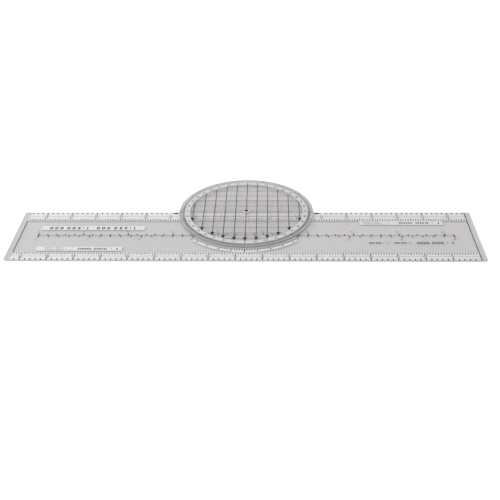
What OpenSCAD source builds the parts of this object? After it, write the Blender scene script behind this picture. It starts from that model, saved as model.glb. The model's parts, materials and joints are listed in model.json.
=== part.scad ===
// Course plotter for charts: a clear ruler sheet with a clear compass disc riveted to its far edge.
// X runs along the ruler, Y points over the far edge and Z is up.
// The origin is on the pivot axis, in the plane of the sheet's underside.
// Sizes are in millimetres.

/* [Ruler sheet] */
// Length of the two straight edges
sheet_length = 330.2; // [310:0.1:350]
// Width from the far straight edge to the near one
sheet_width = 65.2; // [64.2:0.5:80]
// Distance of the pivot axis from the far straight edge
pivot_inset = 0.7; // [0:0.1:2]
// Thickness of the sheet
sheet_t = 1; // [0.9:0.1:3]
// Radius of the four corners
corner_r = 1.5; // [1:0.1:4]
// How far the tab under the disc reaches past the far edge
tab_reach = 17.5; // [12:0.1:26]
// Width of the tab at its tip
tab_tip_w = 80.5; // [60:0.5:88]
// How far the tab's root stands out past the disc on each side
tab_flare = 1; // [0.5:0.1:3]
// Radius of the tab's two corners
tab_corner_r = 3; // [1:0.1:6]

/* [Compass disc] */
// Diameter of the disc
disc_d = 99.4; // [92:0.1:104]
// Thickness of the disc
disc_t = 1.2; // [0.6:0.1:2]
// Bevel on both rims of the disc
disc_bevel = 0.15; // [0.05:0.01:0.25]

/* [Pivot] */
// Bore of the eyelet, which takes a pencil point
eyelet_bore_d = 2.6; // [2:0.1:4]
// Wall of the eyelet tube
eyelet_wall = 0.22; // [0.18:0.01:0.32]
// Outer radius of the curl that rolls each end of the tube outwards
curl_r = 0.42; // [0.36:0.02:0.56]
// Running clearance of the disc round the tube and under the upper curl
turn_play = 0.05; // [0.03:0.01:0.1]
// Clearance between the tube and the pieces that stand still
still_play = 0.02; // [0.01:0.01:0.05]
// Clearance round and below the lower curl in its recess
recess_play = 0.1; // [0.05:0.01:0.3]
// Diameter of the spacer washer between sheet and disc
washer_d = 5.2; // [5:0.1:12]
// Thickness of the spacer washer
washer_t = 0.4; // [0.25:0.05:0.6]

/* [Printing] */
// Thickness of one printed layer
ink_t = 0.05; // [0.03:0.01:0.07]
// Space left between two prints that lie side by side
print_gap = 0.1; // [0.05:0.01:0.3]
// Line width of the graduation marks
mark_w = 0.7; // [0.2:0.01:0.8]
// Line width of the marks of the fine rows
fine_mark_w = 0.5; // [0.2:0.01:0.8]
// Line width of the hairline that carries a row of marks
hairline_w = 0.12; // [0.1:0.01:0.25]
// Length of the short marks
mark_short = 1.8; // [0.8:0.1:2.3]
// Length of the marks at each half step
mark_half = 2.4; // [2.4:0.1:2.6]
// Length of the marks at each full step
mark_full = 2.8; // [2.7:0.1:3.2]

/* [Edge scales] */
// Width of the white band along the far edge
far_band_w = 12.3; // [9:0.1:13]
// Width of the white band along the near edge
near_band_w = 9.8; // [8.5:0.1:11]
// Distance from the ends of the sheet to the ends of the bands
end_margin = 4.5; // [4.2:0.1:8]
// Distance from the straight edges to the bands
edge_inset = 0.1; // [0.05:0.05:0.5]
// Distance of the far coarse row from the edge of its band
far_row_gap = 0.7; // [0:0.1:1]
// Distance of the fine rows from the edges of their bands
fine_row_gap = 0.5; // [0:0.1:0.7]
// Metres in one sea mile
sea_mile = 1852; // [1852]
// Chart scale of the coarse rows along the edges, one to this number
coarse_chart = 500000; // [400000:10000:600000]
// Chart scale of the fine rows along the edges, one to this number
fine_chart = 1000000; // [800000:10000:1200000]
// Line width of the grey rule that parts the two rows of a band
rule_w = 0.25; // [0.15:0.05:0.4]
// Width of the black line at each end of the scales
end_line_w = 0.5; // [0.3:0.05:0.8]

/* [Centre scale] */
// Chart scale of the centre row, one to this number
centre_chart = 250000; // [240000:1000:300000]
// Sea miles along the centre row
centre_miles = 40; // [30:1:40]
// Metres in one land mile
land_mile = 1609.344; // [1609.344]
// Line width of the centre row
centre_line_w = 0.25; // [0.2:0.05:0.6]

/* [White strips] */
// Height of the white strips
strip_h = 5.4; // [4:0.1:6]
// Length of the strip above the centre row
title_l = 75; // [60:0.5:80]
// Distance of that strip from the left end of the bands
title_from_end = 12.5; // [6:0.5:20]
// Distance of that strip from the far band
title_drop = 7.8; // [6.5:0.1:9]
// Length of the two strips beside the bands
note_l = 60; // [40:0.5:72]
// Distance of the far strip from the right end of the bands
far_note_from_end = 18; // [6:0.5:30]
// Distance of the near strip from the left end of the bands
near_note_from_end = 15; // [6:0.5:30]
// Distance of the far strip from the far band
far_note_gap = 0.3; // [0.1:0.05:1]
// Distance of the near strip from the near band
near_note_gap = 1.8; // [0.5:0.1:4]

/* [Edge arrow] */
// Line width of the arrow that joins the two halves of the far edge
arrow_line_w = 0.5; // [0.3:0.05:0.7]
// Distance of the arrow's line from the far edge
arrow_inset = 1.5; // [1.3:0.05:1.8]
// Length of its two heads
arrow_head_l = 4.2; // [2:0.1:5]
// Width of its two heads
arrow_head_w = 2.4; // [1.5:0.1:2.5]
// Distance of its heads from the disc
arrow_clear = 1.6; // [0.5:0.1:3]

/* [Index arc] */
// Width of the white index arc
arc_w = 4.2; // [3.5:0.1:6]
// Distance of the arc from the near band
arc_band_gap = 0.2; // [0.1:0.05:2]
// Degrees that the arc spans to each side
arc_span = 43; // [30:1:60]
// Distance of the arc's ends from the centre row
arc_row_gap = 0.3; // [0.2:0.05:1]
// Distance of the arc's marks from its inner edge
arc_mark_gap = 0.2; // [0.1:0.1:0.6]
// Degrees between two marks of the arc
arc_mark_step = 2; // [1:1:5]
// Length of the arc's marks
arc_mark_short = 1.2; // [0.5:0.1:1.3]
// Length of the arc's marks at each full step
arc_mark_full = 1.5; // [1.4:0.1:2]

/* [Disc print] */
// Distance from the disc's rim to the white ring
ring_inset = 4.2; // [3.6:0.1:5]
// Width of the white ring
ring_w = 3.6; // [3:0.1:6]
// Spacing of the grid lines
grid_pitch = 7.85; // [6:0.05:7.9]
// Line width of the course lines
course_w = 0.45; // [0.3:0.05:0.7]
// Line width of the cross lines
cross_w = 0.3; // [0.15:0.05:0.4]
// Length of the course arrowheads
head_l = 4.5; // [2:0.1:5]
// Width of the course arrowheads
head_w = 3; // [1.5:0.1:3.5]
// Distance of the outermost grid line from the ring
grid_edge = 1.2; // [1:0.1:3]
// Distance of the grid from the eyelet
eyelet_clear = 0.3; // [0.2:0.05:1]
// Width of the degree marks
degree_w = 0.16; // [0.15:0.01:0.4]

/* [Hidden] */
$fn = 360;
big = 4 * sheet_length;
// Overlap that joins the tab's round corners to its straight sides
corner_lap = 0.0005;

// Heights: sheet, washer, disc and the two printed layers on sheet and disc
disc_z = sheet_t + washer_t;
disc_top = disc_z + disc_t;
disc_r = disc_d / 2;

// Eyelet radii and the recess that hides its lower curl
bore_r = eyelet_bore_d / 2;
tube_r = bore_r + eyelet_wall;
curl_mid = bore_r + curl_r;
eyelet_r = curl_mid + curl_r;
recess_depth = curl_r + recess_play;

// Band ends and edges
band_end = sheet_length / 2 - end_margin;
far_edge = pivot_inset;
near_edge = far_edge - sheet_width;
far_foot = far_edge - far_band_w;
near_top = near_edge + near_band_w;
mid_y = near_edge / 2;

// Spacing of the graduations on the sheet
// Millimetres in one metre
mm = 1000;
coarse_step = sea_mile * mm / coarse_chart;
fine_step = sea_mile * mm / fine_chart;
centre_step = sea_mile * mm / centre_chart;
land_step = land_mile * mm / centre_chart;
centre_half = centre_miles * centre_step / 2;
half_every = 5;
full_every = 10;
arrow_tip = disc_r + arrow_clear + arrow_head_l;

// Radii of the prints on the disc and round it
ring_out = disc_r - ring_inset;
ring_in = ring_out - ring_w;
grid_r = ring_in - print_gap;
grid_count = floor((grid_r - grid_edge) / grid_pitch);
degree_r = ring_out + print_gap;
degree_line_r = degree_r + hairline_w;
arc_out = -near_top - arc_band_gap;
arc_in = arc_out - arc_w;
arc_line_r = arc_in + arc_mark_gap;
arc_foot_r = arc_line_r + hairline_w;
arc_top = mid_y - mark_full - arc_row_gap;

clear_sheet = [0.86, 0.86, 0.85, 0.45];
clear_disc = [0.80, 0.80, 0.79, 0.5];
brass = [0.80, 0.68, 0.40];
white_ink = [0.93, 0.93, 0.94];
grey_ink = [0.62, 0.62, 0.64];
black_ink = [0.10, 0.10, 0.11];

// Length of mark number i in a row with a full mark every so many steps
function mark_length(i, half, full) =
    i % full == 0 ? mark_full : i % half == 0 ? mark_half : mark_short;

// The four corners of one mark that rises from a line of the given height
function mark_outline(x, length, line, width) = [
    [x - width / 2, line],
    [x - width / 2, length],
    [x + width / 2, length],
    [x + width / 2, line]];

// Upper side of a row of marks, each given as [place, length], from left to right
function row_top(marks, line, width) =
    [for (m = marks) for (p = mark_outline(m[0], m[1], line, width)) p];

// Outline of a row of marks on its hairline
function row_outline(marks, from, to, width) = concat(
    [[from, 0], [from, hairline_w]],
    row_top(marks, hairline_w, width),
    [[to, hairline_w], [to, 0]]);

// A list of points mirrored below the X axis, in reverse order
function mirrored(points) = [for (i = [len(points) - 1:-1:0]) [points[i].x, -points[i].y]];

// Corners of one mark that points outwards from a round hairline
function ray_outline(angle, from, to, width) = [
    [from * cos(angle) + width / 2 * sin(angle), from * sin(angle) - width / 2 * cos(angle)],
    [to * cos(angle) + width / 2 * sin(angle), to * sin(angle) - width / 2 * cos(angle)],
    [to * cos(angle) - width / 2 * sin(angle), to * sin(angle) + width / 2 * cos(angle)],
    [from * cos(angle) - width / 2 * sin(angle), from * sin(angle) + width / 2 * cos(angle)]];

module sheet_print(layer = 0) {
    translate([0, 0, sheet_t + layer * ink_t])
        linear_extrude(ink_t)
            children();
}

module disc_print(layer = 0) {
    translate([0, 0, disc_top + layer * ink_t])
        linear_extrude(ink_t)
            children();
}

module rounded_rectangle(size, r) {
    for (x = [r, size.x - r], y = [r, size.y - r])
        translate([x, y])
            circle(r);
    translate([r, 0])
        square([size.x - 2 * r, size.y]);
    translate([0, r])
        square([size.x, size.y - 2 * r]);
}

// Trapezoid past the far edge: each tip corner is cut where its round starts and ends, then rounded
module tab_outline() {
    root_half = disc_r + tab_flare;
    tip_half = tab_tip_w / 2;
    tip_y = far_edge + tab_reach;
    side_angle = atan2(tab_reach, root_half - tip_half);
    cut = tab_corner_r * tan(side_angle / 2);
    side = [tip_half + cut * cos(side_angle), tip_y - cut * sin(side_angle)];
    far = [tip_half - cut, tip_y];
    polygon([
        [-root_half, far_foot], [root_half, far_foot],
        [root_half, far_edge], side, far,
        [-far.x, far.y], [-side.x, side.y], [-root_half, far_edge]]);
    for (s = [-1, 1])
        translate([s * far.x, tip_y - tab_corner_r])
            circle(tab_corner_r + corner_lap);
}

module sheet() {
    color(clear_sheet)
        difference() {
            linear_extrude(sheet_t) {
                translate([-sheet_length / 2, near_edge])
                    rounded_rectangle([sheet_length, sheet_width], corner_r);
                tab_outline();
            }
            translate([0, 0, -sheet_t])
                cylinder(h = 3 * sheet_t, r = tube_r + still_play);
            translate([0, 0, -recess_depth])
                cylinder(h = 2 * recess_depth, r = eyelet_r + recess_play);
        }
}

module compass_disc() {
    color(clear_disc)
        translate([0, 0, disc_z])
            rotate_extrude()
                polygon([
                    [tube_r + turn_play, 0],
                    [disc_r - disc_bevel, 0],
                    [disc_r, disc_bevel],
                    [disc_r, disc_t - disc_bevel],
                    [disc_r - disc_bevel, disc_t],
                    [tube_r + turn_play, disc_t]]);
}

// Half ring in section: the tube's end rolled outwards through half a turn
module curl_section() {
    translate([curl_mid, 0])
        intersection() {
            difference() {
                circle(curl_r);
                circle(curl_r - eyelet_wall);
            }
            translate([-2 * curl_r, 0])
                square([4 * curl_r, 2 * curl_r]);
        }
}

module pivot_eyelet() {
    top_z = disc_top + turn_play;
    color(brass)
        rotate_extrude() {
            translate([bore_r, recess_depth])
                square([eyelet_wall, top_z - recess_depth]);
            translate([0, top_z])
                curl_section();
            translate([0, recess_depth])
                mirror([0, 1])
                    curl_section();
        }
}

module spacer_washer() {
    color(white_ink)
        translate([0, 0, sheet_t])
            difference() {
                cylinder(h = washer_t, d = washer_d);
                translate([0, 0, -washer_t])
                    cylinder(h = 3 * washer_t, r = tube_r + still_play);
            }
}

module washer_clearance() {
    circle(d = washer_d + 2 * print_gap);
}

module far_band() {
    color(white_ink)
        sheet_print()
            difference() {
                translate([-band_end, far_foot])
                    square([2 * band_end, far_band_w - edge_inset]);
                washer_clearance();
            }
}

module near_band() {
    color(white_ink)
        sheet_print()
            translate([-band_end, near_edge + edge_inset])
                square([2 * band_end, near_band_w - edge_inset]);
}

module title_strip() {
    color(white_ink)
        sheet_print()
            translate([-band_end + title_from_end, far_foot - title_drop - strip_h])
                square([title_l, strip_h]);
}

module far_note_strip() {
    color(white_ink)
        sheet_print()
            translate([band_end - far_note_from_end - note_l, far_foot - far_note_gap - strip_h])
                square([note_l, strip_h]);
}

module near_note_strip() {
    color(white_ink)
        sheet_print()
            translate([-band_end + near_note_from_end, near_top + near_note_gap])
                square([note_l, strip_h]);
}

// Everything above the ends of the index arc
module above_arc() {
    translate([-big / 2, arc_top])
        square([big, big]);
}

// White sector round the disc, cut off below the centre row
module index_arc() {
    color(white_ink)
        sheet_print()
            difference() {
                circle(arc_out);
                circle(arc_in);
                above_arc();
                for (s = [-1, 1])
                    rotate(s * arc_span - 90)
                        translate([-big / 2, s > 0 ? 0 : -big])
                            square([big, big]);
            }
}

module band_rules() {
    color(grey_ink)
        sheet_print(1)
            for (y = [far_edge - far_band_w / 2, near_edge + near_band_w / 2])
                translate([-band_end, y - rule_w / 2])
                    difference() {
                        square([2 * band_end, rule_w]);
                        translate([band_end, rule_w / 2 - y])
                            washer_clearance();
                    }
}

// Coarse marks hang from the far edge on both sides of the edge arrow
module far_coarse_row() {
    first = ceil((arrow_tip + mark_w) / coarse_step);
    last = floor((band_end - mark_w) / coarse_step);
    marks = [for (i = [first:last]) [i * coarse_step, mark_length(i, full_every, half_every)]];
    color(black_ink)
        sheet_print(1)
            translate([0, far_edge - edge_inset - far_row_gap])
                for (s = [0, 1])
                    mirror([s, 0])
                        mirror([0, 1])
                            polygon(row_outline(marks, arrow_tip + print_gap, band_end, mark_w));
}

module far_fine_row() {
    last = floor((band_end - fine_mark_w) / fine_step);
    marks = [for (i = [-last:last]) [i * fine_step, mark_length(abs(i), half_every, full_every)]];
    color(black_ink)
        sheet_print(1)
            translate([0, far_foot + fine_row_gap])
                polygon(row_outline(marks, -band_end, band_end, fine_mark_w));
}

// The near rows count from the right end of the band
module near_coarse_row() {
    last = floor((2 * band_end - mark_w) / coarse_step);
    marks = [for (i = [1:last]) [i * coarse_step, mark_length(i, full_every, half_every)]];
    color(black_ink)
        sheet_print(1)
            translate([band_end, near_edge + edge_inset])
                mirror([1, 0])
                    polygon(row_outline(marks, 0, 2 * band_end, mark_w));
}

module near_fine_row() {
    last = floor((2 * band_end - fine_mark_w) / fine_step);
    marks = [for (i = [1:last]) [i * fine_step, mark_length(i, half_every, full_every)]];
    color(black_ink)
        sheet_print(1)
            translate([band_end, near_top - fine_row_gap])
                rotate(180)
                    polygon(row_outline(marks, 0, 2 * band_end, fine_mark_w));
}

// Land miles stand above the line and sea miles below it
module centre_row() {
    land_last = floor(2 * centre_half / land_step);
    land = [for (i = [0:land_last]) [i * land_step, mark_length(i, full_every, half_every)]];
    sea = [for (i = [0:centre_miles]) [i * centre_step, mark_length(i, full_every, half_every)]];
    line = centre_line_w / 2;
    from = -mark_w;
    to = 2 * centre_half + mark_w;
    color(black_ink)
        sheet_print()
            translate([-centre_half, mid_y])
                polygon(concat(
                    [[from, line]], row_top(land, line, mark_w), [[to, line], [to, -line]],
                    mirrored(row_top(sea, line, mark_w)), [[from, -line]]));
}

// The right line crosses the whole width, the left one only runs from band to band
module end_lines() {
    color(black_ink)
        sheet_print() {
            translate([band_end + print_gap, near_edge + edge_inset])
                square([end_line_w, sheet_width - 2 * edge_inset]);
            translate([-band_end - print_gap - end_line_w, near_top])
                square([end_line_w, sheet_width - near_band_w - far_band_w]);
        }
}

module edge_arrow() {
    head_x = arrow_tip - arrow_head_l;
    upper = [
        [-head_x, arrow_head_w / 2],
        [-head_x, arrow_line_w / 2],
        [head_x, arrow_line_w / 2],
        [head_x, arrow_head_w / 2]];
    color(black_ink)
        sheet_print(1)
            difference() {
                translate([0, far_edge - arrow_inset])
                    polygon(concat([[-arrow_tip, 0]], upper, [[arrow_tip, 0]], mirrored(upper)));
                washer_clearance();
            }
}

// Degree marks on a hairline, pointing away from the disc; the one at zero crosses the whole arc
module index_marks() {
    last = arc_mark_step * floor((arc_span - 1) / arc_mark_step);
    marks = [for (a = [-last:arc_mark_step:last])
        for (p = ray_outline(a, arc_foot_r, a == 0 ? arc_out - print_gap
            : arc_foot_r + (abs(a) % full_every == 0 ? arc_mark_full : arc_mark_short), mark_w)) p];
    line = [for (a = [last:-arc_mark_step:-last]) [arc_line_r * cos(a), arc_line_r * sin(a)]];
    color(black_ink)
        sheet_print(1)
            difference() {
                rotate(-90)
                    polygon(concat(marks, line));
                above_arc();
            }
}

module compass_ring() {
    color(white_ink)
        disc_print()
            difference() {
                circle(ring_out);
                circle(ring_in);
            }
}

// One mark for each degree; those on the centre line run to the rim
module degree_marks() {
    rim_r = disc_r - disc_bevel - print_gap;
    color(black_ink)
        disc_print()
            difference() {
                polygon([for (a = [0:359])
                    for (p = ray_outline(a, degree_line_r, a % 180 == 90 ? rim_r :
                        degree_line_r + mark_length(a, half_every, full_every), degree_w)) p]);
                circle(degree_r);
            }
}

// Course lines with arrowheads towards the near edge, and plain cross lines
module course_grid() {
    color(black_ink)
        disc_print()
            difference() {
                intersection() {
                    circle(grid_r);
                    union()
                        for (k = [-grid_count:grid_count]) {
                            x = k * grid_pitch;
                            tip_y = -sqrt(grid_r * grid_r - x * x);
                            translate([x - course_w / 2, -disc_r])
                                square([course_w, disc_d]);
                            translate([-disc_r, x - cross_w / 2])
                                square([disc_d, cross_w]);
                            polygon([
                                [x, tip_y],
                                [x + head_w / 2, tip_y + head_l],
                                [x - head_w / 2, tip_y + head_l]]);
                        }
                }
                circle(eyelet_r + eyelet_clear);
            }
}

// The centre course line carried across the ring
module ring_index() {
    color(black_ink)
        disc_print(1)
            for (s = [0, 1])
                mirror([0, s])
                    translate([-course_w / 2, ring_in + print_gap])
                        square([course_w, ring_w - 2 * print_gap]);
}

sheet();
compass_disc();
pivot_eyelet();
spacer_washer();
far_band();
near_band();
title_strip();
far_note_strip();
near_note_strip();
index_arc();
band_rules();
far_coarse_row();
far_fine_row();
near_coarse_row();
near_fine_row();
centre_row();
end_lines();
edge_arrow();
index_marks();
compass_ring();
degree_marks();
course_grid();
ring_index();
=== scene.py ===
import json
import math
import bmesh
import bpy
from mathutils import Matrix, Vector


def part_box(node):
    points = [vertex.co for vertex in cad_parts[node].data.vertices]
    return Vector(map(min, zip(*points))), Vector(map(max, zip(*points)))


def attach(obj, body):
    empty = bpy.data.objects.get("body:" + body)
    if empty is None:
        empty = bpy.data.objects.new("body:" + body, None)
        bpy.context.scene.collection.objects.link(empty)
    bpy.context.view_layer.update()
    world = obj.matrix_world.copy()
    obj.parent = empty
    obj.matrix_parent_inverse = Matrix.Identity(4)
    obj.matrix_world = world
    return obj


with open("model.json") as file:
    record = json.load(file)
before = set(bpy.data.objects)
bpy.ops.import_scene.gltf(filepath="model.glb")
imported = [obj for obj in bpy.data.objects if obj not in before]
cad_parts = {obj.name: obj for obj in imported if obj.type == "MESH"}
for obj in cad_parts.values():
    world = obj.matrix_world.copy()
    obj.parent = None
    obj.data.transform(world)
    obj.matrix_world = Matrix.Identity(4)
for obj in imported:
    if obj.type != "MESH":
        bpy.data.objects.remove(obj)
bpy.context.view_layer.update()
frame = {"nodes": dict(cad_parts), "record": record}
cad = frame["nodes"]
mm = 0.001
scene = bpy.context.scene
scene.view_settings.view_transform = "Standard"
print("frame loaded,", len(cad), "nodes")


def span(name, axis):
    # the two ends of a node along one axis, in millimetres
    low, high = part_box(name)
    return low[axis] / mm, high[axis] / mm


# camera first: place in metres, angles in degrees
camera = {"place": (0.0175, -0.5423, 0.3113), "pitch": 32.295, "yaw": -1.6, "roll": -0.78,
          "focalPixels": 838.3, "imagePixels": 500, "sensor": 36, "nearClip": 0.01}


def makeCamera(c):
    data = bpy.data.cameras.new("photoCamera")
    data.sensor_width = c["sensor"]
    data.lens = c["focalPixels"] / c["imagePixels"] * c["sensor"]
    data.clip_start = c["nearClip"]
    obj = bpy.data.objects.new("photoCamera", data)
    scene.collection.objects.link(obj)
    aim = Matrix.Rotation(-math.radians(c["yaw"]), 4, "Z")
    tilt = Matrix.Rotation(math.radians(90 - c["pitch"]), 4, "X")
    roll = Matrix.Rotation(math.radians(c["roll"]), 4, "Z")  # turns about the line of sight
    obj.matrix_world = Matrix.Translation(c["place"]) @ aim @ tilt @ roll
    scene.camera = obj


makeCamera(camera)
print("camera set")


# node tree helpers; most of the noise lies between low and high
noiseLook = {"rough": 0.55, "low": 0.3, "high": 0.7}


def freshTree(name):
    mat = bpy.data.materials.new(name)
    mat.use_nodes = True
    mat.node_tree.nodes.clear()
    return mat, mat.node_tree


def addNode(tree, kind, values=None, **settings):
    n = tree.nodes.new(kind)
    for key, value in settings.items():
        setattr(n, key, value)
    for key, value in (values or {}).items():
        n.inputs[key].default_value = value
    return n


def noiseAt(tree, size, detail=3.0, stretch=(1, 1, 1)):
    # noise in object space; size is the width of one blotch in millimetres
    where = addNode(tree, "ShaderNodeTexCoord")
    squeeze = addNode(tree, "ShaderNodeMapping", {"Scale": stretch})
    noise = addNode(tree, "ShaderNodeTexNoise",
                    {"Scale": 1 / (size * mm), "Detail": detail, "Roughness": noiseLook["rough"]})
    tree.links.new(where.outputs["Object"], squeeze.inputs["Vector"])
    tree.links.new(squeeze.outputs["Vector"], noise.inputs["Vector"])
    return noise.outputs["Fac"]


def colourBetween(tree, fac, low, high):
    ramp = addNode(tree, "ShaderNodeValToRGB")
    ramp.color_ramp.elements[0].position = noiseLook["low"]
    ramp.color_ramp.elements[1].position = noiseLook["high"]
    ramp.color_ramp.elements[0].color = (*low, 1)
    ramp.color_ramp.elements[1].color = (*high, 1)
    tree.links.new(fac, ramp.inputs["Fac"])
    return ramp.outputs["Color"]


def numberBetween(tree, fac, low, high):
    ends = {"From Min": noiseLook["low"], "From Max": noiseLook["high"], "To Min": low, "To Max": high}
    spread = addNode(tree, "ShaderNodeMapRange", ends)
    tree.links.new(fac, spread.inputs["Value"])
    return spread.outputs["Result"]


def bumpFrom(tree, fac, look):
    relief = {"Strength": look["bump"], "Distance": look["bumpDepth"] * mm}
    bump = addNode(tree, "ShaderNodeBump", relief)
    tree.links.new(fac, bump.inputs["Height"])
    return bump.outputs["Normal"]


def showSurface(tree, shader):
    out = addNode(tree, "ShaderNodeOutputMaterial")
    tree.links.new(shader, out.inputs["Surface"])


# clear plastic: faint blotchy tint, rubbed streaks, frosted cut edges (on the disc painted dark grey as
# painted shade); lamps shine through its faces
# painted shade: the sheet gets a darker, bluer tint where it lies below the disc
clearSheet = {"tintLow": (0.886, 0.867, 0.887), "tintHigh": (0.916, 0.897, 0.917), "blotch": 40,
              "cut": (0.93, 0.93, 0.93), "cutBelow": 0.4, "faceAbove": 0.8, "edgePass": 0.6,
              "smooth": 0.02, "rubbed": 0.09,
              "streak": 1.2, "streakDetail": 4.0, "streakStretch": (0.06, 1, 1),
              "shine": (0.98, 0.98, 0.98), "ior": 1.49, "bump": 0.03, "bumpDepth": 0.02,
              "shadeUnderDisc": (0.850, 0.841, 0.897), "shadeEdge": 49.5, "shadeFade": 2.0}
# painted shade: the disc's cut edges get a dark grey colour
clearDisc = dict(clearSheet, tintLow=(0.868, 0.846, 0.846), tintHigh=(0.898, 0.876, 0.876), blotch=25,
                 cut=(0.46, 0.46, 0.47), edgePass=0.0, streakStretch=(1, 0.15, 1), shadeUnderDisc=None)


def faceShare(tree, look):
    # 1 on the flat faces, 0 on the cut edges
    normal = addNode(tree, "ShaderNodeNewGeometry")
    apart = addNode(tree, "ShaderNodeSeparateXYZ")
    upright = addNode(tree, "ShaderNodeMath", operation="ABSOLUTE")
    share = addNode(tree, "ShaderNodeMapRange",
                    {"From Min": look["cutBelow"], "From Max": look["faceAbove"]})
    tree.links.new(normal.outputs["Normal"], apart.inputs["Vector"])
    tree.links.new(apart.outputs["Z"], upright.inputs[0])
    tree.links.new(upright.outputs[0], share.inputs["Value"])
    return share.outputs["Result"]


def radiusAt(tree):
    # distance from the pivot axis, in metres
    where = addNode(tree, "ShaderNodeTexCoord")
    flat = addNode(tree, "ShaderNodeVectorMath", {1: (1, 1, 0)}, operation="MULTIPLY")
    away = addNode(tree, "ShaderNodeVectorMath", operation="LENGTH")
    tree.links.new(where.outputs["Object"], flat.inputs[0])
    tree.links.new(flat.outputs["Vector"], away.inputs[0])
    return away.outputs["Value"]


def hazeOver(tree, colour, look):
    # painted shade: a darker, bluer tint on the sheet where it lies below the disc
    inner = look["shadeEdge"] - look["shadeFade"]
    below = addNode(tree, "ShaderNodeMapRange",
                    {"From Min": look["shadeEdge"] * mm, "From Max": inner * mm})
    mixed = addNode(tree, "ShaderNodeMix", data_type="RGBA")
    mixed.inputs["B"].default_value = (*look["shadeUnderDisc"], 1)
    tree.links.new(radiusAt(tree), below.inputs["Value"])
    tree.links.new(below.outputs["Result"], mixed.inputs["Factor"])
    tree.links.new(colour, mixed.inputs["A"])
    return mixed.outputs["Result"]


def clearPlastic(name, look):
    mat, tree = freshTree(name)
    streaks = noiseAt(tree, look["streak"], look["streakDetail"], look["streakStretch"])
    face = faceShare(tree, look)
    body = addNode(tree, "ShaderNodeBsdfPrincipled", {"IOR": look["ior"]})
    tree.links.new(face, body.inputs["Transmission Weight"])
    tint = addNode(tree, "ShaderNodeMix", data_type="RGBA")
    tint.inputs["A"].default_value = (*look["cut"], 1)
    tree.links.new(face, tint.inputs["Factor"])
    pane = colourBetween(tree, noiseAt(tree, look["blotch"]), look["tintLow"], look["tintHigh"])
    tree.links.new(hazeOver(tree, pane, look) if look["shadeUnderDisc"] else pane, tint.inputs["B"])
    tree.links.new(tint.outputs["Result"], body.inputs["Base Color"])
    rough = numberBetween(tree, streaks, look["smooth"], look["rubbed"])
    tree.links.new(rough, body.inputs["Roughness"])
    tree.links.new(bumpFrom(tree, streaks, look), body.inputs["Normal"])
    path = addNode(tree, "ShaderNodeLightPath")
    light = addNode(tree, "ShaderNodeMath", operation="MAXIMUM")
    passing = addNode(tree, "ShaderNodeMath", operation="MULTIPLY")
    clear = addNode(tree, "ShaderNodeMapRange", {"To Min": look["edgePass"]})
    through = addNode(tree, "ShaderNodeBsdfTransparent", {"Color": (*look["shine"], 1)})
    either = addNode(tree, "ShaderNodeMixShader")
    tree.links.new(path.outputs["Is Shadow Ray"], light.inputs[0])
    tree.links.new(path.outputs["Is Diffuse Ray"], light.inputs[1])
    tree.links.new(light.outputs[0], passing.inputs[0])
    tree.links.new(face, clear.inputs["Value"])
    tree.links.new(clear.outputs["Result"], passing.inputs[1])
    tree.links.new(passing.outputs[0], either.inputs["Fac"])
    tree.links.new(body.outputs["BSDF"], either.inputs[1])
    tree.links.new(through.outputs["BSDF"], either.inputs[2])
    showSurface(tree, either.outputs["Shader"])
    return mat


# screen-printed inks: uneven cover, a fine mesh grain and a dull skin
whiteInk = {"low": (0.74, 0.74, 0.785), "high": (0.80, 0.80, 0.845), "blotch": 6, "grain": 0.25,
            "grainDetail": 2.0, "smooth": 0.42, "dull": 0.62, "gloss": 0.4, "ior": 1.48,
            "bump": 0.12, "bumpDepth": 0.02}
ringInk = dict(whiteInk, low=(0.65, 0.65, 0.665), high=(0.70, 0.70, 0.715))
blackInk = dict(whiteInk, low=(0.012, 0.012, 0.013), high=(0.026, 0.026, 0.028), blotch=2, gloss=0.15)
greyInk = dict(whiteInk, low=(0.36, 0.36, 0.38), high=(0.44, 0.44, 0.46), blotch=2)
thinInk = dict(blackInk, low=(0.06, 0.06, 0.065), high=(0.10, 0.10, 0.105))
nylon = dict(whiteInk, low=(0.72, 0.72, 0.70), high=(0.79, 0.79, 0.77), blotch=1.5, grain=0.5, bump=0.2)

markMargin = 0.02  # millimetres that stay black beside each mark


def hairShare(tree, hair):
    # 1 on the hairline that carries a row of marks, 0 on the marks
    if "radius" in hair:
        share = addNode(tree, "ShaderNodeMath", {1: hair["radius"] * mm}, operation="LESS_THAN")
        tree.links.new(radiusAt(tree), share.inputs[0])
        return share.outputs[0]
    where = addNode(tree, "ShaderNodeTexCoord")
    apart = addNode(tree, "ShaderNodeSeparateXYZ")
    along = addNode(tree, "ShaderNodeMath", {1: hair["start"] * mm}, operation="SUBTRACT")
    off = addNode(tree, "ShaderNodeMath", {1: hair["step"] / 2 * mm}, operation="PINGPONG")
    reach = (hair["mark"] / 2 + markMargin) * mm
    share = addNode(tree, "ShaderNodeMath", {1: reach}, operation="GREATER_THAN")
    tree.links.new(where.outputs["Object"], apart.inputs["Vector"])
    tree.links.new(apart.outputs["X"], along.inputs[0])
    tree.links.new(along.outputs[0], off.inputs[0])
    tree.links.new(off.outputs[0], share.inputs[0])
    return share.outputs[0]


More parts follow.
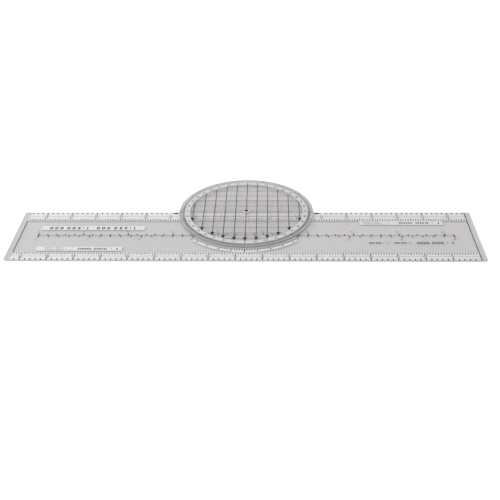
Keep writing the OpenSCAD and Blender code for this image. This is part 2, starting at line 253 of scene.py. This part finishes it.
def printedInk(name, look, hair=None):
    mat, tree = freshTree(name)
    grain = noiseAt(tree, look["grain"], look["grainDetail"])
    body = addNode(tree, "ShaderNodeBsdfPrincipled",
                   {"IOR": look["ior"], "Specular IOR Level": look["gloss"]})
    colour = colourBetween(tree, noiseAt(tree, look["blotch"]), look["low"], look["high"])
    if hair:
        pale = colourBetween(tree, noiseAt(tree, whiteInk["blotch"]), whiteInk["low"], whiteInk["high"])
        both = addNode(tree, "ShaderNodeMix", data_type="RGBA")
        tree.links.new(hairShare(tree, hair), both.inputs["Factor"])
        tree.links.new(colour, both.inputs["A"])
        tree.links.new(pale, both.inputs["B"])
        colour = both.outputs["Result"]
    tree.links.new(colour, body.inputs["Base Color"])
    tree.links.new(numberBetween(tree, grain, look["smooth"], look["dull"]), body.inputs["Roughness"])
    tree.links.new(bumpFrom(tree, grain, look), body.inputs["Normal"])
    showSurface(tree, body.outputs["BSDF"])
    return mat


# rolled brass: pale and a little tarnished in patches; painted shade makes it dark and dull down the
# bore
brass = {"bright": (0.95, 0.90, 0.80), "tarnish": (0.82, 0.72, 0.57), "patch": 0.9,
         "drawn": 0.15, "drawnDetail": 3.0, "drawnStretch": (1, 1, 0.2), "polished": 0.18, "worn": 0.4,
         "bump": 0.15, "bumpDepth": 0.01,
         "boreShade": (0.050, 0.030, 0.018), "boreEdge": 1.5, "lipEdge": 1.62}


def rolledBrass(name, look):
    mat, tree = freshTree(name)
    drawn = noiseAt(tree, look["drawn"], look["drawnDetail"], look["drawnStretch"])
    body = addNode(tree, "ShaderNodeBsdfPrincipled")
    outsideBore = addNode(tree, "ShaderNodeMapRange",
                    {"From Min": look["boreEdge"] * mm, "From Max": look["lipEdge"] * mm})
    boreShaded = addNode(tree, "ShaderNodeMix", data_type="RGBA")
    tree.links.new(radiusAt(tree), outsideBore.inputs["Value"])
    tree.links.new(outsideBore.outputs["Result"], boreShaded.inputs["Factor"])
    # painted shade: a dark, dull, non-metal colour inside the bore
    boreShaded.inputs["A"].default_value = (*look["boreShade"], 1)
    tree.links.new(colourBetween(tree, noiseAt(tree, look["patch"]), look["tarnish"], look["bright"]),
                   boreShaded.inputs["B"])
    tree.links.new(boreShaded.outputs["Result"], body.inputs["Base Color"])
    tree.links.new(outsideBore.outputs["Result"], body.inputs["Metallic"])
    tree.links.new(numberBetween(tree, drawn, look["polished"], look["worn"]), body.inputs["Roughness"])
    tree.links.new(bumpFrom(tree, drawn, look), body.inputs["Normal"])
    showSurface(tree, body.outputs["BSDF"])
    return mat


finish = {"clear_sheet": clearPlastic("clearSheet", clearSheet),
          "clear_disc": clearPlastic("clearDisc", clearDisc),
          "brass": rolledBrass("eyeletBrass", brass), "nylon": printedInk("washerNylon", nylon),
          "white_ink": printedInk("whiteInk", whiteInk), "ring_ink": printedInk("ringInk", ringInk),
          "grey_ink": printedInk("greyInk", greyInk), "black_ink": printedInk("blackInk", blackInk)}
for part in frame["record"]["subparts"]:
    mesh = cad[part["node"]].data
    mesh.materials.clear()
    mesh.materials.append(finish[part["material_slot"]])

# edge scales: a number at each fifth coarse mark and each tenth fine mark
edge = {"step": 18.52, "coarse": 5, "fine": 10, "tall": 2.1, "endRoom": 3.5}

# rows of marks: the hairline that joins them is white like the print below it; on a round scale
# it lies inside the given radius
coarse = {"look": blackInk, "start": 0, "step": edge["step"] / edge["coarse"], "mark": 0.7}
fine = {"look": blackInk, "start": 0, "step": edge["step"] / edge["fine"], "mark": 0.5}
nearStart = span("near_band", 0)[1]
markRows = {"far_coarse_row": coarse, "far_fine_row": fine,
            "near_coarse_row": dict(coarse, start=nearStart),
            "near_fine_row": dict(fine, start=nearStart),
            "index_marks": {"look": blackInk, "radius": 50.62},
            "degree_marks": {"look": thinInk, "radius": 45.72}}
for row, hair in markRows.items():
    cad[row].data.materials[0] = printedInk(row + "Ink", hair["look"], hair)
print("finishes on", len(cad), "nodes")


# numerals: each group is one thin printed mesh, and they read from the far side
printed = {"thick": 0.03, "capShare": 0.7, "curveSteps": 4, "narrow": 0.9, "fine": 0.05, "turn": 180.0}


def stamp(bm, words, tall, x, y, z, turn=printed["turn"], wide=None, bold=0.0):
    # adds one word, centred at x, y, with its foot on z; all in millimetres and degrees
    curve = bpy.data.curves.new("stamp", "FONT")
    curve.body = words
    curve.size = tall / printed["capShare"] * mm
    curve.extrude = printed["thick"] / 2 * mm
    curve.offset = (bold - printed["fine"]) * mm
    curve.resolution_u = printed["curveSteps"]
    curve.align_x = "CENTER"
    curve.align_y = "CENTER"
    holder = bpy.data.objects.new("stamp", curve)
    scene.collection.objects.link(holder)
    graph = bpy.context.evaluated_depsgraph_get()
    letters = bpy.data.meshes.new_from_object(holder.evaluated_get(graph))
    squeeze = wide * mm / holder.dimensions.x if wide else printed["narrow"]
    place = Vector((x, y, z + printed["thick"] / 2)) * mm
    letters.transform(Matrix.Translation(place) @ Matrix.Rotation(math.radians(turn), 4, "Z")
                      @ Matrix.Diagonal((squeeze, 1, 1, 1)))
    bm.from_mesh(letters)
    bpy.data.objects.remove(holder)
    bpy.data.curves.remove(curve)
    bpy.data.meshes.remove(letters)


def inkPiece(name, bm, body):
    mesh = bpy.data.meshes.new(name)
    bm.to_mesh(mesh)
    bm.free()
    mesh.materials.append(finish["black_ink"])
    obj = bpy.data.objects.new(name, mesh)
    scene.collection.objects.link(obj)
    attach(obj, body)
    return obj


sheetTop = span("sheet", 2)[1]
bandTop = span("far_band", 2)[1]
ringTop = span("compass_ring", 2)[1]


def farNumerals(e):
    bm = bmesh.new()
    low, high = span("far_band", 1)
    right = span("far_band", 0)[1]
    rule = (low + high) / 2
    coarseY = (span("far_coarse_row", 1)[0] + rule) / 2
    fineY = (span("far_fine_row", 1)[1] + rule) / 2
    count = int((right - e["endRoom"]) / e["step"])
    for k in range(-count, count + 1):
        if k == 0:
            continue  # the eyelet is there
        stamp(bm, str(abs(k) * e["coarse"]), e["tall"], k * e["step"], coarseY, bandTop)
        stamp(bm, str(abs(k) * e["fine"]), e["tall"], k * e["step"], fineY, bandTop)
    return inkPiece("farNumerals", bm, "ruler")


def nearNumerals(e):
    bm = bmesh.new()
    low, high = span("near_band", 1)
    left, right = span("near_band", 0)
    rule = (low + high) / 2
    coarseY = (span("near_coarse_row", 1)[1] + rule) / 2
    fineY = (span("near_fine_row", 1)[0] + rule) / 2
    count = int((right - left - e["endRoom"]) / e["step"])
    for k in range(1, count + 1):
        stamp(bm, str(k * e["coarse"]), e["tall"], right - k * e["step"], coarseY, bandTop)
        stamp(bm, str(k * e["fine"]), e["tall"], right - k * e["step"], fineY, bandTop)
    return inkPiece("nearNumerals", bm, "ruler")


farNumerals(edge)
nearNumerals(edge)

# centre scale: sea miles under the line, land miles over it
centre = {"sea": 37.04, "land": 32.187, "each": 5, "tall": 1.8, "away": 5.2,
          "landCount": 9, "seaCount": 8}


def centreNumerals(c):
    bm = bmesh.new()
    left = span("centre_row", 0)[0]
    low, high = span("centre_row", 1)
    line = (low + high) / 2
    for k in range(c["seaCount"] + 1):
        stamp(bm, str(k * c["each"]), c["tall"], left + k * c["sea"], line - c["away"], sheetTop)
    for k in range(c["landCount"] + 1):
        stamp(bm, str(k * c["each"]), c["tall"], left + k * c["land"], line + c["away"], sheetTop)
    return inkPiece("centreNumerals", bm, "ruler")


centreNumerals(centre)

# compass ring: a number every ten degrees, heads outwards, nought at the arrowheads' end
ring = {"every": 10, "barEvery": 180, "tall": 1.5, "bold": 0.06}


def ringNumerals(r):
    bm = bmesh.new()
    outer = span("compass_ring", 0)[1]
    inner = span("course_grid", 0)[1]
    middle = (outer + inner) / 2
    for course in range(0, 360, r["every"]):
        if course % r["barEvery"] == 0:
            continue  # the index bars stand there
        a = math.radians(course)
        stamp(bm, str(course), r["tall"], -middle * math.sin(a), -middle * math.cos(a), ringTop,
              printed["turn"] - course, bold=r["bold"])
    return inkPiece("ringNumerals", bm, "disc")


ringNumerals(ring)

# index arc: tens of degrees to either side of the zero mark
arc = {"every": 10, "most": 40, "tall": 1.4, "inset": 1.3, "bold": 0.06}


def arcNumerals(a):
    bm = bmesh.new()
    radius = -span("index_arc", 1)[0] - a["inset"]
    for off in range(-a["most"], a["most"] + 1, a["every"]):
        if off:
            t = math.radians(off)
            stamp(bm, str(abs(off)), a["tall"], radius * math.sin(t), -radius * math.cos(t), bandTop,
                  printed["turn"] + off, bold=a["bold"])
    return inkPiece("arcNumerals", bm, "ruler")


arcNumerals(arc)

# plain scale figures on the strips and on the clear sheet: words, height, middle, rise, width, weight
figures = {"title_strip": [("1 : 2 5 0  0 0 0    1 : 5 0 0  0 0 0", 3.0, -110.7, 0.0, 62, 0.19)],
           "far_note_strip": [("1 : 500 000", 2.2, 126.3, 0.0, 29, 0.07),
                              ("1 : 1 000 000", 1.3, 95, 1.2, 20, 0.03),
                              ("1 : 500 000", 1.3, 95, -1.2, 17, 0.03)],
           "near_note_strip": [("1 : 500 000", 2.2, -102, 0.0, 28, 0.10),
                               ("1 : 1 000 000", 1.3, -129.6, 1.2, 20, 0.03),
                               ("1 : 500 000", 1.3, -129.6, -1.2, 17, 0.03)],
           "centre_row": [("1 : 250 000", 2.6, 133.6, -9.6, 25.5, 0.09),
                          ("1 : 500 000  -  1 : 1 000 000", 1.9, 101.7, -9.6, 29, 0.09)]}


def stripFigures():
    bm = bmesh.new()
    for strip, lines in figures.items():
        middle = sum(span(strip, 1)) / 2
        foot = sheetTop if strip == "centre_row" else bandTop
        for words, tall, x, rise, wide, bold in lines:
            stamp(bm, words, tall, x, middle + rise, foot, wide=wide, bold=bold)
    return inkPiece("stripFigures", bm, "ruler")


stripFigures()
print("numerals printed")


# floor: pale, keeps the shadow, and reads as white where nothing shades it
floor = {"size": 6.0, "cells": 8, "under": 0.05, "blotch": 60,
         "low": (0.40, 0.40, 0.405), "high": (0.43, 0.43, 0.435), "glow": 0.74, "through": 0.22}


def makeFloor(f):
    bm = bmesh.new()
    bmesh.ops.create_grid(bm, x_segments=f["cells"], y_segments=f["cells"], size=f["size"] / 2)
    mesh = bpy.data.meshes.new("paleFloor")
    bm.to_mesh(mesh)
    bm.free()
    obj = bpy.data.objects.new("paleFloor", mesh)
    obj.location.z = -f["under"] * mm
    scene.collection.objects.link(obj)
    mat, tree = freshTree("paleFloor")
    lit = addNode(tree, "ShaderNodeBsdfDiffuse")
    pale = colourBetween(tree, noiseAt(tree, f["blotch"]), f["low"], f["high"])
    tree.links.new(pale, lit.inputs["Color"])
    path = addNode(tree, "ShaderNodeLightPath")
    seen = addNode(tree, "ShaderNodeMath", operation="MAXIMUM")
    level = addNode(tree, "ShaderNodeMath", {1: f["glow"]}, operation="MULTIPLY")
    # rays through the plastic count as glossy too, so this brings their glow down to "through"
    total = addNode(tree, "ShaderNodeMath", {1: f["through"] - f["glow"]}, operation="MULTIPLY_ADD")
    glow = addNode(tree, "ShaderNodeEmission")
    both = addNode(tree, "ShaderNodeAddShader")
    tree.links.new(path.outputs["Is Camera Ray"], seen.inputs[0])
    tree.links.new(path.outputs["Is Glossy Ray"], seen.inputs[1])
    tree.links.new(seen.outputs[0], level.inputs[0])
    tree.links.new(path.outputs["Is Transmission Ray"], total.inputs[0])
    tree.links.new(level.outputs[0], total.inputs[2])
    tree.links.new(total.outputs[0], glow.inputs["Strength"])
    tree.links.new(lit.outputs[0], both.inputs[0])
    tree.links.new(glow.outputs[0], both.inputs[1])
    showSurface(tree, both.outputs[0])
    mesh.materials.append(mat)


makeFloor(floor)

# soft studio light: a broad lamp behind, weaker ones at the left end and in front, and an even sky
backLamp = {"from": (-0.45, 1.2, 0.8), "wide": 1.2, "high": 0.6,
            "watts": 10.4, "tint": (1, 0.96, 0.90)}
sideLamp = {"from": (-0.75, -0.1, 0.45), "wide": 0.6, "high": 0.6,
            "watts": 2.9, "tint": (1, 0.96, 0.90)}
frontLamp = {"from": (0.1, -1.2, 0.35), "wide": 0.8, "high": 0.4,
             "watts": 1.0, "tint": (1, 0.98, 0.96)}
sky = {"light": 0.54, "seen": 0.46}


def makeLamp(name, lamp):
    data = bpy.data.lights.new(name, "AREA")
    data.shape = "RECTANGLE"
    data.size = lamp["wide"]
    data.size_y = lamp["high"]
    data.energy = lamp["watts"]
    data.color = lamp["tint"]
    obj = bpy.data.objects.new(name, data)
    obj.location = lamp["from"]
    obj.rotation_euler = (-Vector(lamp["from"])).to_track_quat("-Z", "Y").to_euler()
    obj.visible_glossy = False  # keeps its glare off both faces of the sheet
    obj.visible_transmission = False
    scene.collection.objects.link(obj)


def makeSky(k):
    world = bpy.data.worlds.new("evenSky")
    world.use_nodes = True
    tree = world.node_tree
    path = addNode(tree, "ShaderNodeLightPath")
    seen = addNode(tree, "ShaderNodeMath", operation="MAXIMUM")
    seenOrGlass = addNode(tree, "ShaderNodeMath", operation="MAXIMUM")
    level = addNode(tree, "ShaderNodeMath", {1: k["seen"], 2: k["light"]}, operation="MULTIPLY_ADD")
    tree.links.new(path.outputs["Is Camera Ray"], seen.inputs[0])
    tree.links.new(path.outputs["Is Glossy Ray"], seen.inputs[1])
    tree.links.new(seen.outputs[0], seenOrGlass.inputs[0])
    tree.links.new(path.outputs["Is Transmission Ray"], seenOrGlass.inputs[1])
    tree.links.new(seenOrGlass.outputs[0], level.inputs[0])
    back = tree.nodes["Background"]
    back.inputs["Color"].default_value = (1, 1, 1, 1)
    tree.links.new(level.outputs[0], back.inputs["Strength"])
    scene.world = world


makeLamp("backLamp", backLamp)
makeLamp("sideLamp", sideLamp)
makeLamp("frontLamp", frontLamp)
makeSky(sky)
print("floor and light set")
